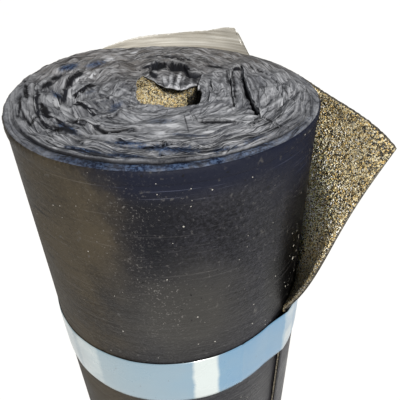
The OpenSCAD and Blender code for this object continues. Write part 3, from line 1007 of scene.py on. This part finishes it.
def crumple_group():
    """Shader group for thin film: a height of sharp creases between flat facets, with fine stretch lines."""
    group, nodes, given, result = new_group("film_crumple", ["Place"], [],
                                            ["Height", "Streaks", "Hairlines", "Grain", "Folds"])
    bent = nodes.noise(given["Place"], 26.0, 1.0, output="Color")
    pushed = nodes.vector("MULTIPLY", bent, (0.010, 0.010, 0.010))
    level = nodes.vector("MULTIPLY", nodes.vector("ADD", given["Place"], pushed), (1, 1, 0))
    outward = nodes.vector("NORMALIZE", level)
    reach = nodes.vector("LENGTH", level)

    def ringed(around, across):
        """Places drawn out round the roll's axis."""
        turned = nodes.vector("MULTIPLY", outward, (around, around, 0))
        raised = nodes.add("ShaderNodeCombineXYZ", {"Z": nodes.times(reach, across)}).outputs[0]
        return nodes.vector("ADD", turned, raised)

    rings = nodes.noise(ringed(2.6, 420.0), 1.0, 4.0, 0.6)
    nodes.feed(result["Streaks"], nodes.mask(rings, 0.41, 0.60))
    height = nodes.times(rings, 0.0006)
    for around, across, weight in ((1.7, 85.0, 0.0042), (3.6, 215.0, 0.0017)):
        spot = ringed(around, across)
        facet = nodes.cells(spot, 1.0)
        inside = nodes.vector("SUBTRACT", spot, facet["Position"])
        tilt = nodes.vector("SUBTRACT", facet["Color"], (0.5, 0.5, 0.5))
        height = nodes.more(nodes.vector("DOT_PRODUCT", tilt, inside), weight, height)
    # Hairlines are the sharp borders of small flat facets; grain is the finest crinkle.
    border = nodes.cells(ringed(5, 300.0), 1.0, feature="DISTANCE_TO_EDGE")["Distance"]
    line = nodes.mask(border, 0.04, 0.20, 1, 0)
    nodes.feed(result["Hairlines"], line)
    crinkle = nodes.noise(given["Place"], 430.0, 2.0, 0.7)
    nodes.feed(result["Grain"], nodes.mask(crinkle, 0.38, 0.63))
    # Fold lines are thin valleys that wander over the film, mostly round the roll.
    folds = 0.0
    for around, across, width in ((1.3, 92.0, 0.026), (2.4, 230.0, 0.028)):
        off = nodes.apart(nodes.noise(ringed(around, across), 1.0, 1.0), -0.5)
        folds = nodes.calc("MAXIMUM", nodes.span(off, width, 0.0), folds)
    nodes.feed(result["Folds"], folds)
    for value, weight in ((line, 0.00018), (folds, -0.0005), (crinkle, 0.0004)):
        height = nodes.more(value, weight, height)
    nodes.feed(result["Height"], height)
    return group


film_crumple = crumple_group()


def film_finish():
    """Dark grey polythene, dusty in patches and browner at the back, with painted blue sky reflection, pale
    fold edges that are partly painted highlight, and painted shade in its slits, hollows and fold lines.
    """
    material, nodes = new_finish("dark_film", Specular_IOR_Level=0.22)
    marks, spots = weathered(nodes, 0.03, lengths=False)
    creased = nodes.add("ShaderNodeGroup", {"Place": spots["Object"]}, node_tree=film_crumple).outputs
    grained = nodes.more(creased["Grain"], 0.6, nodes.calc("ADD", marks["Dust"], creased["Streaks"]))
    tone = nodes.blend(nodes.span(grained, 0.25, 2.2), (0.034, 0.037, 0.048), (0.275, 0.282, 0.302))
    behind = nodes.span(nodes.parts(spots["Object"])["Y"], 0.004, 0.05, 0.0, 0.66)
    tone = nodes.blend(behind, tone, (0.085, 0.074, 0.063))
    # Pale fold edges and dusty hairlines: whitening along creases, and partly painted highlights and glints.
    fold_pale_and_glint = nodes.own("pale_fold")
    rubbed = nodes.times(creased["Hairlines"], marks["Dust"])
    tone = nodes.blend(nodes.more(rubbed, 0.45, fold_pale_and_glint), tone, (0.42, 0.43, 0.455))
    # Where blue_share is set the film is painted mottled navy: painted blue sky reflection.
    flecks = nodes.mask(nodes.noise(spots["Object"], 480.0, 3.0, 0.7), 0.42, 0.60)
    mottled = nodes.blend(flecks, (0.002, 0.006, 0.022), (0.050, 0.078, 0.140))
    tone = nodes.blend(nodes.own("blue_share"), tone, mottled)
    # Dark share and the fold lines paint the film near-black: painted shade.
    folds = nodes.times(creased["Folds"], nodes.span(fold_pale_and_glint, 0.0, 1.0, 0.6, 0.1))
    close = nodes.calc("MAXIMUM", nodes.own("dark_share"), folds)
    deep = nodes.blend(creased["Streaks"], (0.002, 0.002, 0.003), (0.008, 0.009, 0.013))
    gloss = nodes.span(marks["Dust"], 0.0, 1.0, 0.33, 0.48)
    calmer = nodes.span(fold_pale_and_glint, 0.0, 1.0, 1.0, 0.35)
    dull = nodes.more(close, 0.6, gloss, use_clamp=True)
    nodes.shade(Base_Color=nodes.blend(close, tone, deep), Roughness=dull,
                Normal=nodes.relief(creased["Height"], calmer, 1.0))
    return material


dark_film = film_finish()
film_faces = grid_quads(len(film_points), film_columns, True, True)
face_ring = np.arange(len(film_faces)) // film_columns
face_degrees = film_degrees[np.arange(len(film_faces)) % film_columns]
# Low at the front and right the film is drawn down tight, and has the look of the facing below it.
drawn_down = (face_ring < 6) & ((face_degrees < -12) | (face_degrees > 165))
# Inside the opening, granules from the bore wall stick to the film's turned-down edge.
top_end = len(bead) + film_rings
film_zones = np.where(face_ring >= top_end + 3, 2, drawn_down)
film = mesh_piece("gathered_film", film_points, film_faces, [dark_film, *felt_finishes[:2]], film_zones)
blue = np.zeros(film_points.shape[:2])
# The bead is painted navy at the front and left: painted blue sky reflection.
front_left = np.interp(film_degrees, [-180, -158, -142, -124, -110, -66, -46, -28, 180],
                       [0, 0.05, 0.25, 0.75, 1, 1, 0.45, 0.1, 0])
blue[6:11] = front_left * np.clip(0.9 + 0.5 * lump, 0, 1)
dark = np.zeros(film_points.shape[:2])
# Painted shade: dark on the bead's lower face and in the crease behind its crest, and a little darker on its
# top at the left.
low_face = np.array([1, 1, 1, 1, 1, 0.9, 0.4])[:, None]
dark[:7] = low_face * np.interp(film_degrees, [-165, -140, -40, -15], [0.4, 1, 1, 0.3])
dark[11:15] = np.interp(film_degrees, [-180, -155, -140, -72, -45, -20, 180],
                        [0.1, 0.3, 1, 1, 0.6, 0.2, 0.1])
dark[7:11] += np.interp(film_degrees, [-152, -138, -112, -98], [0, 0.4, 0.4, 0])
dark[14] *= np.interp(film_degrees, [-165, -145, -110, -90], [0.3, 0.9, 0.9, 0.3])
on_top = slice(len(bead), top_end)
# On top, painted shade under the laps' edges and in the hollows.
dark[on_top] += 0.95 * shade.reshape(film_rings, film_columns) + 0.7 * np.clip(hollow, 0, 1)
wear_and_painted_light = np.zeros(film_points.shape[:2])
# Paler on raised ridges and over the smooth panel as painted highlight and sheen, a little paler toward the
# front, and a painted highlight along the lip's edge.
frontness = np.clip((-flat_plan[:, 1] - 0.03) / 0.04, 0, 1)
dust_and_sheen = (0.14 * panel + 0.09 * frontness).reshape(film_rings, film_columns)
wear_and_painted_light[on_top] = 0.3 * np.clip(-hollow - 0.15, 0, 1) + dust_and_sheen
wear_and_painted_light[top_end - 2:top_end] += np.array([[0.35], [0.9]]) * lip_share


def stroked(points, strokes):
    """How strongly soft strokes cover points. Each has the two places of its middle, a half length and a half
    width in the photograph's pixels, a slant in degrees and a strength."""
    arm = points.reshape(-1, 3) - view_place
    ahead = arm @ view_ahead
    across = frame_px / 2 + focal_px * (arm @ view_right) / ahead
    down = frame_px / 2 - focal_px * (arm @ view_up) / ahead
    place = np.stack([across, down], -1)
    flat = points.reshape(-1, 3)[:, :2]
    ragged = 1 + 0.8 * wander(flat, 0.0035, 4.4) + 0.5 * wander(flat, 0.0014, 9.1)
    total = np.zeros(len(place))
    for *middle, half_long, half_wide, slant, strength in strokes:
        way = np.array([math.cos(math.radians(slant)), -math.sin(math.radians(slant))])
        gap = place - middle
        far = (gap @ way / half_long) ** 2 + (gap @ np.array([-way[1], way[0]]) / half_wide) ** 2
        total = np.maximum(total, strength * np.exp(-(ragged * far) ** 2))
    return total.reshape(points.shape[:-1])


# Dark strokes paint the slits and pockets near-black: painted shade.
dark_strokes = [
    (37.5, 104, 19, 2.4, 91, 1), (44, 108, 10, 3.2, -52, 1), (64.5, 96, 9, 2.8, 84, 1),
    (70, 82, 10, 3.6, 56, 1), (77.5, 75.5, 7, 2.8, 28, 1), (26.5, 91, 8, 2.2, 97, 1),
    (19.5, 109, 11, 1.5, 82, 0.8), (34, 119, 7, 1.5, 60, 0.9), (54, 119, 11, 1.8, -24, 0.9),
    (85, 124.5, 15, 2, -10, 0.95), (80, 92, 11, 2, 29, 1), (56, 78, 7, 3, 20, 0.75),
    (84, 105, 14, 1.5, -23, 0.95), (62, 129, 14, 3, -17, 0.75), (47, 85, 8, 3.4, 28, 0.8),
    (46, 124, 9, 1.5, -35, 0.9), (158, 66, 10, 4.4, 8, 1), (181, 67, 12, 4.4, -14, 1),
    (234.3, 86, 14, 1.5, 95, 1), (227, 76, 7, 1.2, 92, 0.9), (257, 69.5, 10, 1, -22, 0.8),
    (273, 79, 11, 1, -38, 0.8), (286, 91, 8, 1, -52, 0.6), (272, 121.5, 12, 0.9, -25, 0.7),
    (254, 120.5, 9, 0.9, 33, 0.7), (186, 122, 12, 0.9, -75, 0.6), (196, 118, 6, 0.9, -60, 0.5),
    (146, 67, 5, 1.7, 20, 0.9), (153, 75, 6, 3.2, -40, 0.8), (187, 81, 5, 3.2, 60, 0.5),
    (195, 80, 5, 3.5, 80, 0.6), (174.5, 80, 7, 1.1, 78, 0.6), (172, 56.5, 16, 1.5, 0, 0.6),
    (150, 57, 8, 1.4, 10, 0.5), (205, 61, 10, 1.2, -20, 0.5), (216, 67, 12, 1.3, -8, 0.7),
    (237, 69, 5, 2.4, 0, 0.85)]
# Pale strokes are pale folds, and partly painted glints and highlights.
pale_strokes = [
    (68.5, 97, 7, 2.6, 78, 0.85), (76, 83, 11, 3.4, 57, 0.85), (90, 76, 9, 2.6, 8, 0.7),
    (57, 105, 20, 4.2, -31, 0.8), (70, 116, 13, 1.8, -22, 0.9), (33, 101, 17, 2.6, 90, 0.45),
    (49, 78.5, 13, 1.3, 38, 0.6), (105, 98.5, 13, 1.1, 14, 0.7), (84, 103.3, 12, 0.9, -23, 0.7),
    (12, 103, 17, 3.4, 76, 0.4), (108, 122, 22, 1.6, -5, 0.4), (172, 125, 9, 2.6, -5, 0.9),
    (156, 120, 7, 1.6, 8, 0.5), (128, 92, 8, 1.1, -25, 0.6), (126, 99, 8, 1, 20, 0.5),
    (108, 60, 7, 1.6, 15, 0.8), (134, 53, 7, 1.2, 10, 0.8), (165, 81, 6, 2, -45, 0.7),
    (170.5, 80, 7, 1.8, 80, 0.7), (178.5, 80, 8, 1.8, 76, 0.95), (184, 78, 5, 1, 60, 0.4),
    (205, 84, 3, 3, 0, 0.7), (223, 98, 6, 2, 0, 0.65), (212, 132, 13, 1.1, 0, 0.6),
    (30, 110, 10, 2, 85, 0.4)]
left_hollow = ((46, 101), 0.048, 0.045)
hollow_share = 0.34
stroke_gain = 1.5
# Painted shade: darker over a broad hollow at the left.
dark += hollow_share * zone(film_points[..., :2], *left_hollow)
dark = np.maximum(dark, stroke_gain * stroked(film_points, dark_strokes))
# Navy streaks between the front rings and in the folds at the left are painted blue sky reflection.
blue_strokes = [
    (69, 67, 11, 3.0, 16, 0.7), (96, 64, 12, 2.6, 14, 0.6), (67, 128, 12, 3.2, -26, 0.9),
    (87, 151, 20, 2.4, -12, 0.9), (166, 149, 34, 2.6, -3, 0.85), (128, 143, 18, 2.0, -2, 0.7),
    (126, 156, 22, 2.2, -4, 0.8), (58, 96, 7, 2.4, -30, 0.7), (116, 107, 8, 3.0, 35, 0.5),
    (160, 121, 12, 2.6, 0, 0.45), (225, 149, 16, 2.0, 10, 0.7), (255, 139, 12, 2.0, 24, 0.6),
    (90, 92, 6, 2.0, 20, 0.4), (186, 135, 18, 1.6, -3, 0.5)]
blue += stroke_gain * stroked(film_points, blue_strokes)
wear_and_painted_light += stroked(film_points, pale_strokes)
# The turned-down edge and the underside are painted dark as shade, less so on the lip's first hang ring.
dark[top_end:] = 0.85
dark[top_end] -= 0.6 * lip_share
point_values(film, blue_share=blue, dark_share=dark, pale_fold=wear_and_painted_light)
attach(film, "root")
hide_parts("end_film")

# The free layers of the same film. Its pleats lie flat on each other with their folded edges showing, so each
# is a thin creased strip that lies on the film below and runs under it at its far side.
film_below = BVHTree.FromPolygons(film_points.reshape(-1, 3).tolist(), film_faces.tolist())
step_long = 0.0011
pleat_fade = 0.008
arc_limit = 0.1015
across_shares = np.array([0, 0.05, 0.14, 0.28, 0.48, 0.72, 1.0])
pleat_t = 0.00012


def smoothed(values, times):
    """Values averaged along their first axis, with the ends kept."""
    values = values.copy()
    for _ in range(times):
        values[1:-1] = (values[:-2] + 2 * values[1:-1] + values[2:]) / 4
    return values


def rested(line, over, width, lift, seed):
    """Top points of a pleat, whose folded edge follows a line and which lies over the film beside it."""
    run = lengths_along(line)
    along = np.linspace(0, run[-1], max(int(run[-1] / step_long), 8))
    edge = smoothed(np.stack([np.interp(along, run, line[:, k]) for k in (0, 1)], -1), 6)
    tangent = np.gradient(edge, axis=0)
    side = np.stack([-tangent[:, 1], tangent[:, 0]], -1) / np.linalg.norm(tangent, axis=1)[:, None]
    side *= np.where((side @ over) >= 0, 1, -1)[:, None]
    ends = np.clip(np.minimum(along, run[-1] - along) / pleat_fade, 0, 1) ** 0.7
    frayed = [0.0009 * noise.noise((s / 0.014, seed, 0)) + 0.0003 * noise.noise((s / 0.004, seed, 4))
              for s in along]
    out = across_shares * width - overhang + np.array(frayed)[:, None] * (1 - across_shares)
    place = edge[:, None] + side[:, None] * out[..., None]
    below = np.full(place.shape[:2], rim_z - 0.004)
    for i, j in np.ndindex(*below.shape):
        hit = film_below.ray_cast((*place[i, j], rim_z + 0.05), (0, 0, -1))[0]
        below[i, j] = hit.z if hit else below[i, j]
    below[:, :2] = below[:, 2:3]
    laid = np.where(across_shares > 0.6, below, np.maximum(smoothed(below, 8), below - 0.0003))
    kinks = np.zeros_like(laid)
    for size, slope, slant in ((0.023, 0.16, 0.5), (0.0125, 0.11, -0.8), (0.0062, 0.06, 0.9)):
        phase = along[:, None] / size + slant * across_shares + seed
        patchy = [0.5 + 1.3 * noise.noise((s / (2.2 * size), seed, size * 900)) for s in along]
        fold = np.abs(phase - np.floor(phase + 0.5)) - 0.25
        kinks += slope * size * fold * np.clip(patchy, 0, 1)[:, None]
    proud = lift * (1 - across_shares) ** 1.2 + kinks * (1 - across_shares)
    z = laid + ends[:, None] * proud - 0.0005 * across_shares - 0.0006 * (1 - ends[:, None])
    z = held_down(z, rim_z + proud_limit)
    laid_points = np.concatenate([place, z[..., None]], -1)
    laid_points[..., 2] -= 0.004 * stroked(laid_points, dark_strokes)
    return laid_points


def arcs(count, seed, centre, half, radius):
    """Pleats drawn round the axis between the degrees and radii given, each lying inward of its line."""
    pick = np.random.default_rng(seed)
    for _ in range(count):
        middle = pick.uniform(*centre)
        reach = pick.uniform(*half)
        turn = np.radians(np.linspace(middle - reach, middle + reach, 24))
        r = pick.uniform(*radius) + pick.uniform(-0.004, 0.004) * np.linspace(-1, 1, 24)
        way = np.array([math.cos(math.radians(middle)), math.sin(math.radians(middle))])
        line = np.minimum(r, arc_limit)[:, None] * arrow(turn)
        yield line, -way, pick.uniform(0.006, 0.010), pick.uniform(0.0006, 0.0014)


pleats = []
for line_px, over_px, lift, _, reach in front_laps + left_laps + back_laps[:2] + back_laps[5:] + right_laps:
    over = way_over(line_px, over_px)
    pleats.append((seen_at(line_px, rim_z), over, 2.4 * reach / 1000, 0.7 * lift / 1000))
pleats += arcs(15, 5, (-165, -20), (14, 38), (0.080, 0.1005))
pleats += arcs(14, 6, (-25, 60), (12, 26), (0.066, 0.100))
pleats += arcs(6, 8, (62, 130), (10, 24), (0.060, 0.086))
pleat_points = []
pleat_faces = []
pleat_pale = []
# Each pleat's folded edge is painted pale: whitening and painted highlight.
edge_pale = 1 - across_shares / 0.1
count = 0
for number, (line, over, width, lift) in enumerate(pleats):
    upper = rested(line, over, width, lift, 3.7 * number)
    lower = upper - np.array([0, 0, pleat_t])
    pleat_points.append(np.concatenate([lower, upper[:, ::-1]], 1).reshape(-1, 3))
    pleat_faces.append(strip_shell(*upper.shape[:2])[0] + count)
    count += len(pleat_points[-1])
    pleat_pale.append(np.tile(np.concatenate([edge_pale, edge_pale[::-1]]), len(upper)))
pleat_points = np.concatenate(pleat_points)
film_pleats = mesh_piece("film_pleats", pleat_points, np.concatenate(pleat_faces), [dark_film])
# The pleats take the same painted blue reflection, painted shade and pale strokes as the film below.
pleat_blue = stroke_gain * stroked(pleat_points, blue_strokes)
pleat_dark = np.maximum(hollow_share * zone(pleat_points[:, :2], *left_hollow),
                        stroke_gain * stroked(pleat_points, dark_strokes))
point_values(film_pleats, blue_share=pleat_blue, dark_share=pleat_dark,
             pale_fold=0.5 * np.concatenate(pleat_pale) + stroked(pleat_points, pale_strokes))
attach(film_pleats, "root")

# The strip of the same film that stands up along the back, where its edge was left unfolded. It is thin,
# milky and drawn in fine level streaks, cut off square at its right end and running out to nothing at its
# left.
strip_r = 0.1068
strip_t = 0.0003
strip_angle = np.radians(np.linspace(43.5, 129, 170))
top_degrees = [43, 45.4, 46.2, 54, 68, 83, 99, 111, 119, 124, 129]
top_heights = [0.0192, 0.0196, 0.0228, 0.0222, 0.0180, 0.0152, 0.0140, 0.0112, 0.0082, 0.0050, 0.0012]
strip_tops = np.interp(np.degrees(strip_angle), top_degrees, top_heights)
strip_rows = np.linspace(0, 1, 16)
strip_faces = []
for back in (0.0, strip_t):
    face = []
    for angle, tall in zip(strip_angle, strip_tops):
        ragged = 0.0005 * noise.noise((40 * angle, 3.0, 1.0)) + 0.0003 * noise.noise((130 * angle, 5.0, 1.0))
        for up in strip_rows:
            z = up * (tall + ragged)
            wide_lean = 0.0012 * noise.noise((6 * angle, 2.2 * up, 8.0))
            lean = wide_lean + 0.0004 * noise.noise((3 * angle, 9 * up, 4.0))
            slant = 0.135 * up * max(0, 1 - (angle - strip_angle[0]) / 0.4)
            r = strip_r + back + lean * up
            face.append((r * math.cos(angle + slant), r * math.sin(angle + slant), film_low + z))
    strip_faces.append(np.array(face).reshape(len(strip_angle), len(strip_rows), 3))


def strip_finish():
    """Milky film edge, streaked along its length, with thin brown dust."""
    material, nodes = new_finish("milky_film", Specular_IOR_Level=0.5)
    marks, spots = weathered(nodes, 0.03)
    streaks = nodes.noise(nodes.stretched(spots["UV"], (10.0, 420.0, 1.0)), 1.0, 4.0, 0.6)
    tone = nodes.ramp(streaks, [(0.3, (0.20, 0.184, 0.153)), (0.5, (0.312, 0.296, 0.26)),
                                (0.7, (0.50, 0.49, 0.455))])
    dust_and_sheen = nodes.blend(nodes.times(marks["Dust"], 0.2), tone, (0.35, 0.32, 0.27))
    gloss = nodes.span(marks["Dust"], 0.0, 1.0, 0.25, 0.45)
    nodes.shade(Base_Color=dust_and_sheen, Roughness=gloss, Normal=nodes.relief(streaks, 0.4, 0.0006))
    return material


strip_run = (strip_angle * 0.107)[:, None]
strip_uv = np.stack(np.broadcast_arrays(strip_run, strip_rows[None] * strip_tops[:, None]), -1)
strip = sheet_strip("film_strip", strip_faces[0], strip_faces[1], strip_uv, [strip_finish()] * 3)
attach(strip, "root")

# Floor and light. A pale floor, an even pale sky, and one broad soft key light from behind the camera, a
# little to its right, low enough to reach into the bore under the film.
floor_half = 40
floor_corners = [(-floor_half, -floor_half, 0), (floor_half, -floor_half, 0), (floor_half, floor_half, 0),
                 (-floor_half, floor_half, 0)]
floor_mesh = bpy.data.meshes.new("floor")
floor_mesh.from_pydata(floor_corners, [], [(0, 1, 2, 3)])
floor = bpy.data.objects.new("floor", floor_mesh)
bpy.context.scene.collection.objects.link(floor)
floor_material, nodes = new_finish("pale_floor", Roughness=0.8, Specular_IOR_Level=0.2)
mottle = nodes.noise(nodes.add("ShaderNodeTexCoord").outputs["Object"], 3.0, 4.0)
nodes.shade(Base_Color=nodes.mask(mottle, 0.3, 0.7, 0.90, 0.94))
floor_mesh.materials.append(floor_material)

world = bpy.data.worlds.new("studio_sky")
bpy.context.scene.world = world
world.use_nodes = True
nodes = Nodes(world.node_tree)
ahead = nodes.parts(nodes.add("ShaderNodeTexCoord").outputs["Generated"])["Y"]
sky = nodes.ramp(nodes.span(ahead, -1.0, 1.0),
                 [(0.1, (0.80, 0.88, 1.0)), (0.5, (0.94, 0.97, 1.0)), (1.0, (1.0, 1.0, 1.0))])
background = world.node_tree.nodes["Background"]
nodes.feed(background.inputs["Color"], sky)
nodes.feed(background.inputs["Strength"], 0.32)

key_light = bpy.data.lights.new("key", "SUN")
key_light.energy = 5.7
key_light.angle = math.radians(7)
key_light.color = (1.0, 0.97, 0.92)
key = bpy.data.objects.new("key", key_light)
bpy.context.scene.collection.objects.link(key)
key_lift = math.radians(29)
key_side = math.radians(8)
key.rotation_euler = (math.pi / 2 - key_lift, 0, key_side)
key.location = (0.6, -2.6, 2.4)
bpy.context.scene.view_settings.view_transform = "Standard"
